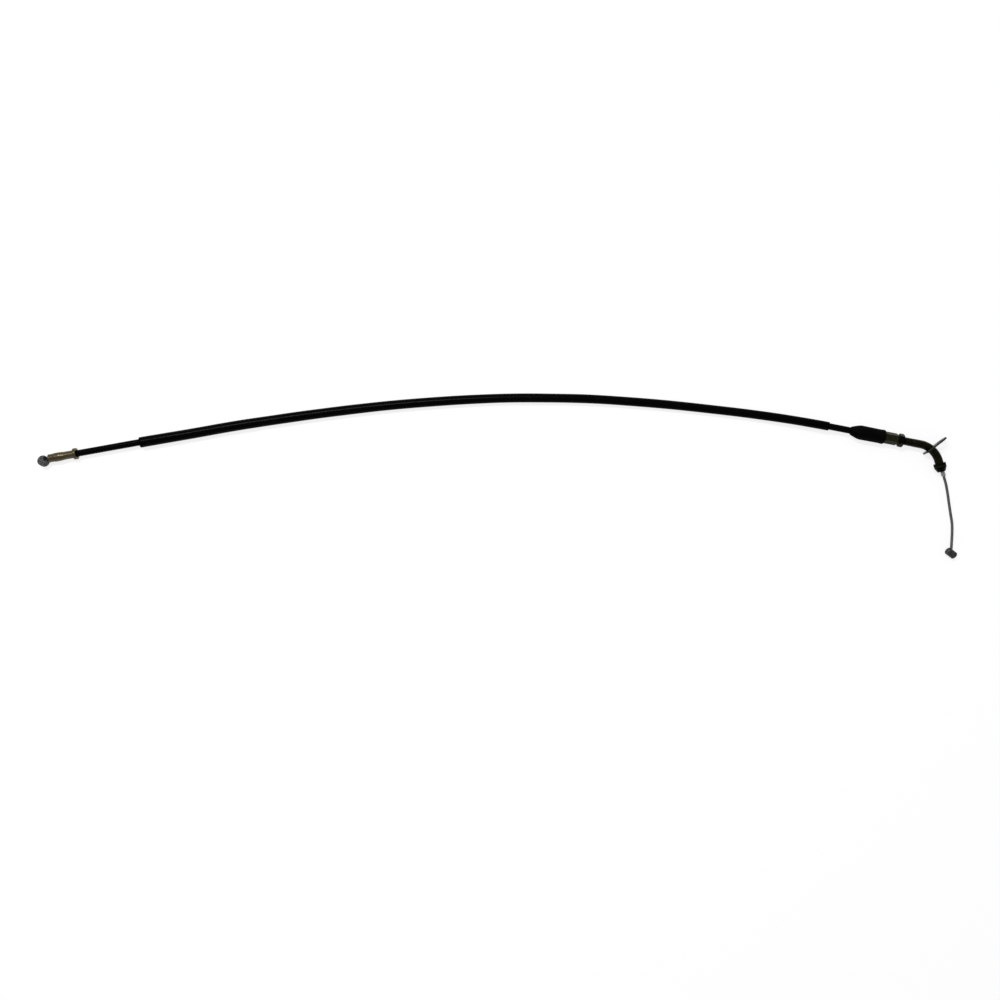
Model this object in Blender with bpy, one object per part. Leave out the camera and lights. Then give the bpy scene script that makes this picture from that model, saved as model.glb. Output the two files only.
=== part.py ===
"""Throttle cable with an elbow at one end, lying on a flat surface.

A soldered nipple and a turned ferrule end the cable at the carburettor. The conduit runs in a
protective sleeve to an adjuster under a rubber boot, and a bent tube leads the bare wire out to
the throttle's nipple. Lengths are millimetres here and become metres where meshes are written.
+X runs along the cable, +Z is up, and the origin is on the surface under the middle.
"""

import math

import bmesh
import bpy
from mathutils import Matrix, Vector

MM = 0.001
UP = Vector((0, 0, 1))

# Clearances
END_GAP = 0.3
FIT_GAP = 0.2
LAYER_GAP = 0.15
SOLDER_GAP = 0.3
RUNNING_GAP = 0.45

# Inner wire and the layers of the conduit
WIRE_RADIUS = 1.0
WIRE_PLAY = 0.15
LINER_WALL = 0.25
ARMOUR_WALL = 0.35
JACKET_WALL = 0.45
SLEEVE_PLAY = 0.25
SLEEVE_WALL_LEFT = 1.2
SLEEVE_WALL_RIGHT = 0.55

# Ferrule at the carburettor, from its front face
FERRULE_LENGTH = 21.4
FERRULE_BODY_RADIUS = 3.35
FERRULE_WAIST_RADIUS = 3.0
FERRULE_NOSE_RADIUS = 3.15
FERRULE_GROOVE_RADIUS = 2.8
FERRULE_RIB_LENGTH = 1.2
FERRULE_GROOVE_WIDTH = 0.8
FERRULE_BAND_LENGTH = 4.2
FERRULE_WAIST_LENGTH = 8.0
FLANGE_RADIUS = 4.25
FLANGE_THICKNESS = 2.2
FERRULE_SOCKET_DEPTH = 14.0
EDGE = 0.3

# Nipple at the carburettor
CARB_NIPPLE_RADIUS = 3.95
CARB_NIPPLE_HEIGHT = 4.4
CARB_NIPPLE_ROLL = -14.0
CARB_NIPPLE_OFFSET = 1.2
NIPPLE_EDGE = 0.35
CARB_WIRE_LENGTH = 60.0

# Sleeve ends, from the ferrule's front face and from the start of the bend
SLEEVE_START = 69.6
SLEEVE_END = 70.3

# Adjuster, lock nut and boot, back from the start of the bend
LOCK_NUT_END = 13.5
LOCK_NUT_THICKNESS = 3.8
LOCK_NUT_FLATS = 9.0
BARREL_HEX_LENGTH = 9.3
BARREL_NECK_LENGTH = 1.0
BARREL_FLATS = 8.0
BARREL_SPIGOT_LENGTH = 13.5
BARREL_WALL = 0.5
THREAD_ENGAGEMENT = 11.0
BARREL_WEB = 1.0
CHAMFER = 0.6
END_CAP_WALL = 0.35
END_CAP_BASE = 1.0
END_CAP_OVERHANG = 2.0
BOOT_LENGTH = 25.2
BOOT_RADIUS = 5.4
BOOT_NECK_WALL = 0.5
BOOT_CONE_LENGTH = 6.5
BOOT_CAVITY_GAP = 0.35
BOOT_LIP = 2.5

# Elbow tube and its mouth
TUBE_RADIUS = 3.05
TUBE_WALL = 0.6
ELBOW_LINER_PLAY = 0.3
ELBOW_LINER_WALL = 0.35
BEND_RADIUS = 17.4
BEND_TURN = 63.3
MOUTH_STRAIGHT = 8.4
COLLAR_LENGTH = 6.4
COLLAR_HEAD = 1.9
COLLAR_FLATS = 8.7
COLLAR_TIP_WALL = 0.5
COLLAR_SOCKET_DEPTH = 3.1
ELBOW_LINER_REACH = 3.6
WIRE_JOINT_RECESS = 1.0
BARE_WIRE_STATION = 4.5

# Retainer plate, threaded on the bend
PLATE_AT = 27.8
PLATE_LEAN = 13.9
PLATE_TIP = 7.0
PLATE_THICKNESS = 1.3
PLATE_WIDTH = 10.8
PLATE_PITCH = 8.8
PLATE_CORNER = 1.5
SCREW_HOLE_RADIUS = 2.6
PLATE_EDGE = 0.2

# Nipple at the throttle
THROTTLE_NIPPLE_RADIUS = 2.8
THROTTLE_NIPPLE_LENGTH = 7.2
THROTTLE_NIPPLE_HEADING = -36.0
THROTTLE_NIPPLE_TILT = -8.0

# Facets and stations
SMALL_SIDES = 8
CONDUIT_SIDES = 12
TUBE_SIDES = 16
TURNED_SIDES = 24
STATION = 17.0
BEND_STEPS = 10
CORE_STEPS = 6
ARC_STEP = 15

# Route of the conduit: from the ferrule's front face to the start of the bend
CONDUIT_ROUTE = [
    (-336.7, 13.4, 4.3),
    (-303.2, 19.4, 4.3),
    (-269.7, 25.4, 4.3),
    (-231.0, 31.95, 4.15),
    (-193.5, 38.5, 3.95),
    (-171.0, 41.9, 3.88),
    (-141.0, 46.2, 3.8),
    (-111.0, 50.0, 3.74),
    (-81.0, 53.3, 3.68),
    (-51.0, 55.8, 3.63),
    (-21.0, 57.7, 3.6),
    (9.0, 58.8, 3.57),
    (39.0, 58.8, 3.54),
    (69.0, 58.1, 3.5),
    (99.0, 56.2, 3.48),
    (129.0, 53.7, 3.46),
    (159.0, 50.5, 3.5),
    (189.0, 46.9, 3.8),
    (219.0, 42.5, 4.8),
    (248.3, 37.3, 5.45),
    (271.0, 32.8667, 5.45),
    (293.7, 28.4333, 5.45),
    (316.4, 24.0, 5.45),
]

# Route of the bare wire: from just outside the mouth to the middle of the throttle's nipple
BARE_WIRE_ROUTE = [
    (333.7, 0.0, 5.38),
    (335.35, -5.5, 5.1),
    (336.8, -12.5, 4.75),
    (338.1, -20.5, 4.35),
    (339.45, -28.5, 4.0),
    (340.6, -35.5, 3.75),
    (340.75, -42.5, 3.55),
    (340.45, -50.0, 3.42),
    (340.0, -57.6, 3.35),
]


def clear_scene():
    for item in list(bpy.data.objects):
        bpy.data.objects.remove(item, do_unlink=True)


def make_material(name, colour, metallic, roughness):
    material = bpy.data.materials.new(name)
    material.use_nodes = True
    shader = material.node_tree.nodes["Principled BSDF"]
    shader.inputs["Base Color"].default_value = (*colour, 1.0)
    shader.inputs["Metallic"].default_value = metallic
    shader.inputs["Roughness"].default_value = roughness
    return material


def add_object(name, data, material=None, matrix=None):
    item = bpy.data.objects.new(name, data)
    bpy.context.scene.collection.objects.link(item)
    if material:
        data.materials.append(material)
    if matrix:
        item.matrix_world = matrix
    return item


def smooth_points(route, per_span=14):
    """Points along cubic pieces through the route, sloping at each point like the parabola there."""
    points = [Vector(p) for p in route]
    spans = [(b - a).length for a, b in zip(points, points[1:])]
    chords = [(b - a) / h for a, b, h in zip(points, points[1:], spans)]
    slopes = [chords[0]]
    for i in range(1, len(points) - 1):
        before, after = spans[i - 1], spans[i]
        slopes.append((chords[i - 1] * after + chords[i] * before) / (before + after))
    slopes.append(chords[-1])
    found = []
    for i, span in enumerate(spans):
        for step in range(per_span):
            t = step / per_span
            found.append(
                points[i] * (2 * t**3 - 3 * t**2 + 1)
                + points[i + 1] * (3 * t**2 - 2 * t**3)
                + slopes[i] * span * (t**3 - 2 * t**2 + t)
                + slopes[i + 1] * span * (t**3 - t**2)
            )
    return [*found, points[-1]]


class Path:
    """A line of points that can be read at any length along it, and straight on past both ends."""

    def __init__(self, points):
        self.points = points
        self.lengths = [0.0]
        for a, b in zip(points, points[1:]):
            self.lengths.append(self.lengths[-1] + (b - a).length)
        self.length = self.lengths[-1]
        self.first_heading = (points[1] - points[0]).normalized()
        self.last_heading = (points[-1] - points[-2]).normalized()

    def at(self, length):
        if length <= 0:
            return self.points[0] + self.first_heading * length
        if length >= self.length:
            return self.points[-1] + self.last_heading * (length - self.length)
        i = next(k for k, reached in enumerate(self.lengths) if reached > length) - 1
        share = (length - self.lengths[i]) / (self.lengths[i + 1] - self.lengths[i])
        return self.points[i].lerp(self.points[i + 1], share)

    def stretch(self, start, end, stations, drift=0.0):
        """The points from start to end, with the given stations between them.

        A drift eases them off to the left of the path by so much, over the first half.
        """
        margin = 0.5
        inner = [s for s in stations if start + margin < s < end - margin]
        found = []
        for place in [start, *inner, end]:
            heading = (self.at(place + margin) - self.at(place - margin)).normalized()
            share = min(1.0, 2 * (place - start) / (end - start))
            eased = drift * share * share * (3 - 2 * share)
            found.append(self.at(place) - heading.cross(UP) * eased)
        return found


def bend_point(start, heading, turned):
    """The point of the elbow's bend after turning by so many degrees to the right."""
    side = heading.cross(UP)
    angle = math.radians(turned)
    return start + BEND_RADIUS * (heading * math.sin(angle) + side * (1 - math.cos(angle)))


def elbow_path(start, heading):
    """The elbow's centreline: a straight before the bend, the bend, and a straight to the mouth."""
    side = heading.cross(UP)
    points = [start - heading * STATION, start]
    for step in range(1, BEND_STEPS + 1):
        points.append(bend_point(start, heading, BEND_TURN * step / BEND_STEPS))
    angle = math.radians(BEND_TURN)
    out = heading * math.cos(angle) + side * math.sin(angle)
    points.append(points[-1] + out * MOUTH_STRAIGHT)
    return Path(points), out


def axis_frame(origin, along, quarter=0.0):
    """A matrix with local Z along an axis and local Y leaning up, turned by so many degrees."""
    side = UP.cross(along).normalized()
    upward = along.cross(side)
    turn = Matrix.Rotation(math.radians(quarter), 4, "Z")
    basis = Matrix((side, upward, along)).transposed().to_4x4()
    return Matrix.Translation(origin * MM) @ basis @ turn


def centred_frame(origin, along):
    """A matrix whose local Z runs along any direction."""
    turn = along.to_track_quat("Z", "X").to_matrix().to_4x4()
    return Matrix.Translation(origin * MM) @ turn


def ring_basis(points, i):
    """Two unit vectors across the path at its point i."""
    heading = (points[min(i + 1, len(points) - 1)] - points[max(i - 1, 0)]).normalized()
    side = heading.cross(UP).normalized()
    return side, side.cross(heading)


def hollow_tube(name, points, outer, inner, sides, material):
    """A tube along a path. Outer and inner give the radius at each point."""
    mesh = bmesh.new()
    skins = []
    for radii in (outer, inner):
        rings = []
        for i, centre in enumerate(points):
            side, upward = ring_basis(points, i)
            ring = []
            for k in range(sides):
                angle = 2 * math.pi * (k + 0.5) / sides
                spoke = side * math.cos(angle) + upward * math.sin(angle)
                ring.append(mesh.verts.new((centre + spoke * radii[i]) * MM))
            rings.append(ring)
        skins.append(rings)
    pairs = [pair for rings in skins for pair in zip(rings, rings[1:])]
    pairs += [(skins[0][0], skins[1][0]), (skins[0][-1], skins[1][-1])]
    for a, b in pairs:
        for k in range(sides):
            mesh.faces.new((a[k - 1], a[k], b[k], b[k - 1]))
    bmesh.ops.recalc_face_normals(mesh, faces=mesh.faces)
    data = bpy.data.meshes.new(name)
    mesh.to_mesh(data)
    mesh.free()
    data.shade_smooth()
    data.set_sharp_from_angle(angle=math.radians(40))
    return add_object(name, data, material)


def even_tube(name, points, outer, inner, sides, material):
    count = len(points)
    return hollow_tube(name, points, [outer] * count, [inner] * count, sides, material)


def wire(name, points, material):
    """A round wire as a curve with a bevel and closed ends."""
    curve = bpy.data.curves.new(name, "CURVE")
    curve.dimensions = "3D"
    curve.twist_mode = "Z_UP"
    curve.bevel_depth = WIRE_RADIUS * MM
    curve.bevel_resolution = 2
    curve.use_fill_caps = True
    spline = curve.splines.new("POLY")
    spline.points.add(len(points) - 1)
    for point, place in zip(spline.points, points):
        point.co = (*(place * MM), 1.0)
    return add_object(name, curve, material)


def turned(name, profile, matrix, material, sides=TURNED_SIDES):
    """A turned piece: a profile of (radius, height) carried round local Z.

    A profile that starts and ends on the axis makes a solid, and any other closes on itself.
    It runs down the outer side.
    """
    data = bpy.data.meshes.new(name)
    verts = [(radius * MM, 0, height * MM) for radius, height in profile]
    edges = [(i, i + 1) for i in range(len(verts) - 1)]
    if profile[0][0] > 0:
        edges.append((len(verts) - 1, 0))
    data.from_pydata(verts, edges, [])
    item = add_object(name, data, material, matrix)
    screw = item.modifiers.new("Turn", "SCREW")
    screw.axis = "Z"
    screw.steps = screw.render_steps = sides
    screw.use_merge_vertices = True
    screw.merge_threshold = 0.00001
    screw.use_smooth_shade = True
    return item


def boolean(item, cutter, operation):
    cutter.hide_render = True
    cutter.display_type = "WIRE"
    modifier = item.modifiers.new(cutter.name, "BOOLEAN")
    modifier.operation = operation
    modifier.object = cutter
    modifier.solver = "EXACT"


def prism(name, radius, depth, matrix, sides):
    """A helper prism centred on the matrix's origin, its length along local Z."""
    mesh = bmesh.new()
    bmesh.ops.create_cone(
        mesh,
        cap_ends=True,
        segments=sides,
        radius1=radius * MM,
        radius2=radius * MM,
        depth=depth * MM,
    )
    data = bpy.data.meshes.new(name)
    mesh.to_mesh(data)
    mesh.free()
    return add_object(name, data, matrix=matrix)


def cut_hexagon(item, across_flats, length, matrix):
    """Keeps what lies inside a hexagon bar, with a corner on the matrix's local Y."""
    corner = across_flats / 2 / math.cos(math.pi / 6)
    cutter = prism(f"{item.name}_hexagon", corner, 2 * length, matrix, 6)
    boolean(item, cutter, "INTERSECT")


def drill(item, radius, mouth, bottom):
    """A blind hole from one point to another."""
    along = bottom - mouth
    matrix = axis_frame((mouth + bottom) / 2, along.normalized())
    cutter = prism(f"{item.name}_drill", radius, along.length, matrix, TUBE_SIDES)
    boolean(item, cutter, "DIFFERENCE")


def chamfered_cylinder(radius, length, edge):
    """Half outline of a solid cylinder, centred on its axis, with bevelled rims."""
    top = length / 2
    return [
        (0, top),
        (radius - edge, top),
        (radius, top - edge),
        (radius, edge - top),
        (radius - edge, -top),
        (0, -top),
    ]


def build_ferrule(matrix, jacket_radius, material):
    """The turned ferrule. Local Z runs from its front face back over the conduit."""
    socket = jacket_radius + FIT_GAP
    hole = WIRE_RADIUS + RUNNING_GAP
    floor = FERRULE_LENGTH - FERRULE_SOCKET_DEPTH
    seat = FERRULE_LENGTH - FLANGE_THICKNESS
    rib = FERRULE_RIB_LENGTH + FERRULE_GROOVE_WIDTH
    band = rib + FERRULE_RIB_LENGTH + FERRULE_GROOVE_WIDTH
    waist = band + FERRULE_BAND_LENGTH
    bevel = EDGE / 2
    profile = [
        (FLANGE_RADIUS - EDGE, FERRULE_LENGTH),
        (FLANGE_RADIUS, FERRULE_LENGTH - EDGE),
        (FLANGE_RADIUS, seat + EDGE),
        (FLANGE_RADIUS - EDGE, seat),
        (FERRULE_BODY_RADIUS, seat),
        (FERRULE_WAIST_RADIUS, seat - EDGE),
        (FERRULE_WAIST_RADIUS, waist + FERRULE_WAIST_LENGTH / 2),
        (FERRULE_BODY_RADIUS, waist),
        (FERRULE_BODY_RADIUS, band + EDGE),
        (FERRULE_BODY_RADIUS - EDGE, band),
        (FERRULE_GROOVE_RADIUS, band - bevel),
        (FERRULE_GROOVE_RADIUS, rib + FERRULE_RIB_LENGTH + bevel),
        (FERRULE_NOSE_RADIUS, rib + FERRULE_RIB_LENGTH - bevel),
        (FERRULE_NOSE_RADIUS, rib + bevel),
        (FERRULE_GROOVE_RADIUS, rib - bevel),
        (FERRULE_GROOVE_RADIUS, FERRULE_RIB_LENGTH + bevel),
        (FERRULE_NOSE_RADIUS, FERRULE_RIB_LENGTH - bevel),
        (FERRULE_NOSE_RADIUS, EDGE),
        (FERRULE_NOSE_RADIUS - EDGE, 0),
        (hole, 0),
        (hole, floor),
        (socket, floor),
        (socket, FERRULE_LENGTH),
    ]
    return turned("carb_ferrule", profile, matrix, material)


def build_boot(matrix, jacket_radius, material):
    """The rubber boot. Local Z runs from its neck to its open end."""
    neck = jacket_radius + FIT_GAP
    cavity = spigot_radius() + BOOT_CAVITY_GAP
    profile = [
        (cavity, BOOT_LENGTH),
        (BOOT_RADIUS - EDGE, BOOT_LENGTH),
        (BOOT_RADIUS, BOOT_LENGTH - EDGE),
        (BOOT_RADIUS, BOOT_CONE_LENGTH + 1),
        (BOOT_RADIUS - EDGE, BOOT_CONE_LENGTH - 1),
        (neck + BOOT_NECK_WALL, EDGE),
        (neck + BOOT_NECK_WALL - EDGE, 0),
        (neck, 0),
        (neck, BOOT_LIP),
        (cavity, BOOT_LIP + BOOT_CONE_LENGTH),
    ]
    return turned("boot", profile, matrix, material)


def build_barrel(matrix, tube_end, material):
    """The adjuster's barrel. Local Z runs from the spigot under the boot to the open thread."""
    corner = BARREL_FLATS / 2 / math.cos(math.pi / 6)
    hex_end = BARREL_SPIGOT_LENGTH + BARREL_HEX_LENGTH
    length = hex_end + BARREL_NECK_LENGTH
    thread = TUBE_RADIUS + FIT_GAP
    shoulder = length - tube_end - END_GAP
    socket = end_cap_radius() + FIT_GAP
    spigot = spigot_radius()
    profile = [
        (thread + EDGE, length),
        (spigot, length),
        (spigot, hex_end),
        (corner - CHAMFER, hex_end),
        (corner, hex_end - CHAMFER),
        (corner, BARREL_SPIGOT_LENGTH + CHAMFER),
        (corner - CHAMFER, BARREL_SPIGOT_LENGTH),
        (spigot, BARREL_SPIGOT_LENGTH),
        (spigot, 0),
        (socket, 0),
        (socket, shoulder - BARREL_WEB),
        (WIRE_RADIUS + RUNNING_GAP, shoulder - BARREL_WEB),
        (WIRE_RADIUS + RUNNING_GAP, shoulder),
        (thread, shoulder),
        (thread, length - EDGE),
    ]
    barrel = turned("adjuster_barrel", profile, matrix, material)
    cut_hexagon(barrel, BARREL_FLATS, length, matrix)
    return barrel


def build_lock_nut(matrix, material):
    """The lock nut. Local Z runs towards the bend, and a flat faces up."""
    corner = LOCK_NUT_FLATS / 2 / math.cos(math.pi / 6)
    thread = TUBE_RADIUS + FIT_GAP
    profile = [
        (thread + EDGE, LOCK_NUT_THICKNESS),
        (corner - 2 * CHAMFER, LOCK_NUT_THICKNESS),
        (corner, LOCK_NUT_THICKNESS - CHAMFER),
        (corner, CHAMFER),
        (corner - 2 * CHAMFER, 0),
        (thread + EDGE, 0),
        (thread, EDGE),
        (thread, LOCK_NUT_THICKNESS - EDGE),
    ]
    nut = turned("lock_nut", profile, matrix, material)
    cut_hexagon(nut, LOCK_NUT_FLATS, LOCK_NUT_THICKNESS, matrix)
    return nut


def build_end_cap(matrix, jacket_radius, depth, material):
    """The cap pressed on the conduit's end. Local Z runs from its rim to its base."""
    inside = jacket_radius + FIT_GAP
    length = depth + END_CAP_BASE
    profile = [
        (end_cap_radius() - EDGE / 2, length),
        (end_cap_radius(), length - EDGE / 2),
        (end_cap_radius(), 0),
        (inside, 0),
        (inside, depth),
        (WIRE_RADIUS + RUNNING_GAP, depth),
        (WIRE_RADIUS + RUNNING_GAP, length),
    ]
    return turned("conduit_end_cap", profile, matrix, material)


def end_cap_radius():
    return layer_radii()["jacket"][1] + FIT_GAP + END_CAP_WALL


def spigot_radius():
    """The barrel's round parts clear both the conduit's end cap and the tube's thread."""
    return max(TUBE_RADIUS, end_cap_radius()) + FIT_GAP + BARREL_WALL


def build_collar(matrix, material):
    """The collar on the elbow's mouth. Local Z runs out of the mouth."""
    corner = COLLAR_FLATS / 2 / math.cos(math.pi / 6)
    socket = TUBE_RADIUS + FIT_GAP
    hole = TUBE_RADIUS - TUBE_WALL
    profile = [
        (hole, COLLAR_LENGTH),
        (hole + COLLAR_TIP_WALL - EDGE, COLLAR_LENGTH),
        (hole + COLLAR_TIP_WALL, COLLAR_LENGTH - EDGE),
        (corner, COLLAR_HEAD),
        (corner, EDGE),
        (corner - EDGE, 0),
        (socket, 0),
        (socket, COLLAR_SOCKET_DEPTH + END_GAP),
        (hole, COLLAR_SOCKET_DEPTH + END_GAP),
    ]
    collar = turned("mouth_collar", profile, matrix, material)
    cut_hexagon(collar, COLLAR_FLATS, COLLAR_LENGTH, matrix)
    return collar


def build_plate(matrix, material):
    """The retainer plate. Local Z is its thickness and local X runs from the tube to the screw hole."""
    half = PLATE_WIDTH / 2
    inset = half - PLATE_CORNER
    arcs = (
        (PLATE_PITCH, 0, half, -90, 180),
        (-inset, inset, PLATE_CORNER, 90, 90),
        (-inset, -inset, PLATE_CORNER, 180, 90),
    )
    outline = []
    for x, y, radius, start, sweep in arcs:
        steps = sweep // ARC_STEP
        for step in range(steps + 1):
            angle = math.radians(start + sweep * step / steps)
            outline.append((x + radius * math.cos(angle), y + radius * math.sin(angle)))
    mesh = bmesh.new()
    verts = [mesh.verts.new((x * MM, y * MM, -PLATE_THICKNESS / 2 * MM)) for x, y in outline]
    face = mesh.faces.new(verts)
    grown = bmesh.ops.extrude_face_region(mesh, geom=[face])["geom"]
    top = [item for item in grown if isinstance(item, bmesh.types.BMVert)]
    bmesh.ops.translate(mesh, verts=top, vec=(0, 0, PLATE_THICKNESS * MM))
    bmesh.ops.recalc_face_normals(mesh, faces=mesh.faces)
    data = bpy.data.meshes.new("retainer_plate")
    mesh.to_mesh(data)
    mesh.free()
    plate = add_object("retainer_plate", data, material, matrix)
    bevel = plate.modifiers.new("Edges", "BEVEL")
    bevel.width = PLATE_EDGE * MM
    bevel.segments = 1
    bevel.limit_method = "ANGLE"
    bevel.angle_limit = math.radians(60)
    lean = math.radians(math.hypot(PLATE_LEAN, PLATE_TIP))
    tube_hole = TUBE_RADIUS / math.cos(lean) + PLATE_THICKNESS / 2 * math.tan(lean) + FIT_GAP
    for name, offset, radius in (("tube", 0, tube_hole), ("screw", PLATE_PITCH, SCREW_HOLE_RADIUS)):
        place = matrix @ Matrix.Translation((offset * MM, 0, 0))
        cutter = prism(f"plate_{name}_hole", radius, 3 * PLATE_THICKNESS, place, TURNED_SIDES)
        boolean(plate, cutter, "DIFFERENCE")
    return plate


def layer_radii():
    """Inner and outer radius of each layer round the wire, from the wire outwards."""
    liner = WIRE_RADIUS + WIRE_PLAY
    armour = liner + LINER_WALL + LAYER_GAP
    jacket = armour + ARMOUR_WALL + LAYER_GAP
    return {
        "liner": (liner, liner + LINER_WALL),
        "armour": (armour, armour + ARMOUR_WALL),
        "jacket": (jacket, jacket + JACKET_WALL),
    }


def hold_on(parent, items):
    """Parents items to an empty without moving them."""
    bpy.context.view_layer.update()
    for item in items:
        item.parent = parent
        item.matrix_parent_inverse = parent.matrix_world.inverted()


def build():
    clear_scene()
    zinc = make_material("cast_zinc", (0.36, 0.36, 0.37), 0.8, 0.5)
    gold = make_material("yellow_passivated_steel", (0.5, 0.42, 0.2), 0.9, 0.35)
    olive = make_material("olive_passivated_steel", (0.08, 0.08, 0.055), 0.7, 0.5)
    dark = make_material("blackened_steel", (0.03, 0.03, 0.035), 0.7, 0.35)
    steel = make_material("drawn_steel", (0.42, 0.42, 0.42), 0.9, 0.35)
    plate_steel = make_material("plated_sheet_steel", (0.2, 0.2, 0.2), 0.8, 0.4)
    vinyl = make_material("black_vinyl", (0.012, 0.012, 0.013), 0.0, 0.4)
    rubber = make_material("black_rubber", (0.02, 0.02, 0.022), 0.0, 0.65)
    nylon = make_material("natural_nylon", (0.75, 0.73, 0.66), 0.0, 0.4)

    cable = Path(smooth_points(CONDUIT_ROUTE))
    face = cable.points[0]
    left = cable.first_heading
    right = cable.last_heading
    bend_start = cable.points[-1]
    radii = layer_radii()
    jacket_radius = radii["jacket"][1]

    # Places along the cable, from the ferrule's front face
    lock_nut_at = cable.length - LOCK_NUT_END - LOCK_NUT_THICKNESS
    barrel_end = lock_nut_at - END_GAP
    hex_at = barrel_end - BARREL_NECK_LENGTH - BARREL_HEX_LENGTH
    spigot_at = hex_at - BARREL_SPIGOT_LENGTH
    boot_at = hex_at - END_GAP - BOOT_LENGTH
    tube_at = barrel_end - THREAD_ENGAGEMENT
    cap_base = tube_at - END_GAP - BARREL_WEB - END_GAP
    cap_rim = spigot_at - END_CAP_OVERHANG
    conduit_at = FERRULE_LENGTH - FERRULE_SOCKET_DEPTH + END_GAP
    conduit_end = cap_base - END_CAP_BASE - END_GAP
    stations = [STATION * k for k in range(1, int(cable.length / STATION) + 1)]

    # Carburettor end
    ferrule = build_ferrule(axis_frame(face, left), jacket_radius, gold)
    side = left.cross(UP)
    nipple_centre = face - left * (CARB_NIPPLE_RADIUS + END_GAP) + side * CARB_NIPPLE_OFFSET
    roll = Matrix.Rotation(math.radians(CARB_NIPPLE_ROLL), 3, left)
    carb_nipple = turned(
        "carb_nipple",
        chamfered_cylinder(CARB_NIPPLE_RADIUS, CARB_NIPPLE_HEIGHT, NIPPLE_EDGE),
        centred_frame(nipple_centre, roll @ UP),
        zinc,
    )
    wire_tip = face - left * (CARB_NIPPLE_RADIUS + END_GAP)
    drill(carb_nipple, WIRE_RADIUS + SOLDER_GAP, face, wire_tip - left * SOLDER_GAP)
    wire_tail = wire_tip + left * CARB_WIRE_LENGTH
    carb_wire = wire("carb_wire", [wire_tip, wire_tail], steel)

    # Conduit and sleeve
    run = cable.stretch(conduit_at, conduit_end, stations)
    even_tube("conduit_liner", run, *radii["liner"][::-1], SMALL_SIDES, nylon)
    even_tube("conduit_armour", run, *radii["armour"][::-1], SMALL_SIDES, steel)
    even_tube("conduit_jacket", run, *radii["jacket"][::-1], CONDUIT_SIDES, vinyl)
    inner_at = CARB_WIRE_LENGTH - CARB_NIPPLE_RADIUS
    inner_run = cable.stretch(inner_at, tube_at - END_GAP / 2, stations)
    wire("inner_wire", inner_run, steel)
    sleeve_run = cable.stretch(SLEEVE_START, cable.length - SLEEVE_END, stations)
    bore = jacket_radius + SLEEVE_PLAY
    outer = []
    for i in range(len(sleeve_run)):
        left_share = (1 - i / (len(sleeve_run) - 1)) ** 2
        wall = SLEEVE_WALL_RIGHT + (SLEEVE_WALL_LEFT - SLEEVE_WALL_RIGHT) * left_share
        outer.append(bore + wall)
    hollow_tube(
        "protective_sleeve", sleeve_run, outer, [bore] * len(outer), CONDUIT_SIDES, vinyl
    )

    # Adjuster
    cap_depth = cap_base - END_CAP_BASE - cap_rim
    build_end_cap(axis_frame(cable.at(cap_rim), right), jacket_radius, cap_depth, steel)
    build_boot(axis_frame(cable.at(boot_at), right), jacket_radius, rubber)
    build_barrel(axis_frame(cable.at(spigot_at), right, 30), THREAD_ENGAGEMENT, olive)
    nut = build_lock_nut(axis_frame(cable.at(lock_nut_at), right, 30), dark)

    # Elbow
    elbow, out = elbow_path(bend_start, right)
    before_bend = cable.length - tube_at
    bend_stations = elbow.lengths[1:-1]
    shift = elbow.lengths[1] - before_bend
    collar_at = elbow.length - COLLAR_LENGTH
    tube_run = elbow.stretch(shift, collar_at + COLLAR_SOCKET_DEPTH, bend_stations)
    tube = even_tube("elbow_tube", tube_run, TUBE_RADIUS, TUBE_RADIUS - TUBE_WALL, TUBE_SIDES, olive)

    # The core in the elbow drifts to the outside of the bend and runs on as the bare wire
    liner_bore = WIRE_RADIUS + ELBOW_LINER_PLAY
    liner_radius = liner_bore + ELBOW_LINER_WALL
    drift = TUBE_RADIUS - TUBE_WALL - FIT_GAP - liner_radius
    led = elbow.stretch(shift, elbow.length, bend_stations, drift)
    core = Path(smooth_points([*led, *[Vector(p) for p in BARE_WIRE_ROUTE]], CORE_STEPS))
    core_stations = core.lengths[::CORE_STEPS]
    liner_end = core_stations[len(led) - 1] + ELBOW_LINER_REACH
    wire_joint = liner_end - WIRE_JOINT_RECESS
    liner_run = core.stretch(END_GAP, liner_end, core_stations)
    liner = even_tube("elbow_liner", liner_run, liner_radius, liner_bore, SMALL_SIDES, nylon)
    elbow_run = core.stretch(END_GAP / 2, wire_joint - END_GAP / 2, core_stations)
    elbow_wire = wire("elbow_wire", elbow_run, steel)
    collar = build_collar(axis_frame(elbow.at(collar_at), out, 22), olive)

    # Retainer plate
    plate_heading = Matrix.Rotation(math.radians(-PLATE_AT), 3, "Z") @ right
    normal = Matrix.Rotation(math.radians(-PLATE_LEAN), 3, "Z") @ plate_heading
    reach = UP.cross(normal)
    plate_place = bend_point(bend_start, right, PLATE_AT)
    basis = Matrix((reach, UP, reach.cross(UP))).transposed().to_4x4()
    tip = Matrix.Rotation(math.radians(-PLATE_TIP), 4, "X")
    plate = build_plate(Matrix.Translation(plate_place * MM) @ basis @ tip, plate_steel)

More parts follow.
